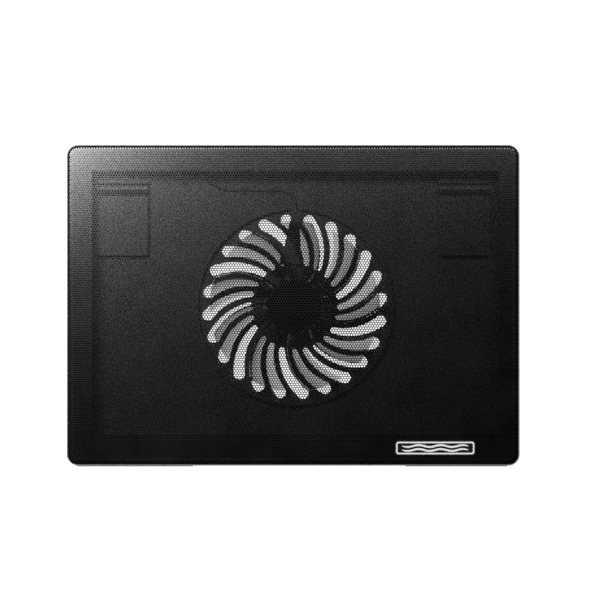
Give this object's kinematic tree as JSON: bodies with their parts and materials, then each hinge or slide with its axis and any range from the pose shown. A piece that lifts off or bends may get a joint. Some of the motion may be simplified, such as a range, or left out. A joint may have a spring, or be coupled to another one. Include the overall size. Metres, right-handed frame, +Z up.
{
  "type": "laptop cooling pad",
  "caption": "Flat cooling pad for a laptop: a perforated steel platform over a shallow plastic tray with a wide fan and flip-out rear feet.",
  "frame": {"origin": "on the surface the pad stands on, under the middle of its outline", "axes": "+X to the right along the long side, +Y to the rear where the flip-out feet are, +Z up through the steel platform"},
  "size_m": [0.355, 0.2522, 0.0275],
  "materials": {
    "platform_steel": "satin black powder coat on steel",
    "tray_plastic": "fine moulded texture",
    "frame_plastic": "fine moulded texture",
    "badge_plastic": "gloss black with a pale printed border",
    "blade_plastic": "clear smoke-grey moulding",
    "yoke_steel": "dark plated steel",
    "magnet": "bonded ferrite",
    "bright_steel": "ground steel",
    "bronze": "sintered bronze",
    "brass": "turned brass",
    "white_plastic": "natural nylon",
    "motor_plastic": "moulded black",
    "core_steel": "stacked silicon steel sheets",
    "copper_wire": "enamelled copper winding",
    "board": "green solder mask",
    "chip_plastic": "moulded epoxy",
    "black_screw": "black oxide steel",
    "lead_jacket": "soft vinyl jacket",
    "black_rubber": "matt rubber"
  },
  "bodies": {
    "pad": {"mesh_top": "platform_steel", "badge_plate": "badge_plastic", "top_frame": "frame_plastic", "base_shell": "tray_plastic", "lead_cover": "tray_plastic", "fan_lead": "lead_jacket", "cable_gland": "black_rubber", "sleeve_bearing": "bronze", "thrust_plate": "white_plastic", "bearing_tube": "motor_plastic", "stator_core": "core_steel", "coil_bobbin": "white_plastic", "stator_coils": "copper_wire", "motor_board": "board", "hall_sensor": "chip_plastic", "motor_screws": "black_screw", "case_screws": "black_screw", "left_hinge_pin": "bright_steel", "right_hinge_pin": "bright_steel", "front_left_pad": "black_rubber", "front_right_pad": "black_rubber", "rear_left_pad": "black_rubber", "rear_right_pad": "black_rubber"},
    "fan_rotor": {"impeller": "blade_plastic", "rotor_yoke": "yoke_steel", "magnet_ring": "magnet", "hub_bushing": "brass", "rotor_shaft": "bright_steel", "shaft_clip": "white_plastic"},
    "left_foot": {"left_flip_foot": "tray_plastic", "left_foot_tip": "black_rubber"},
    "right_foot": {"right_flip_foot": "tray_plastic", "right_foot_tip": "black_rubber"}
  },
  "joints": [
    {"name": "fan_spin", "type": "hinge", "parent": "pad", "child": "fan_rotor", "pos_m": [0.0012, -0.0009, 0.0144], "axis": [0, 0, 1], "continuous": true},
    {"name": "left_foot_fold", "type": "hinge", "parent": "pad", "child": "left_foot", "pos_m": [-0.135, 0.092, 0.007], "axis": [1, 0, 0], "range_deg": [0, 105]},
    {"name": "right_foot_fold", "type": "hinge", "parent": "pad", "child": "right_foot", "pos_m": [0.135, 0.092, 0.007], "axis": [1, 0, 0], "range_deg": [0, 105]}
  ]
}
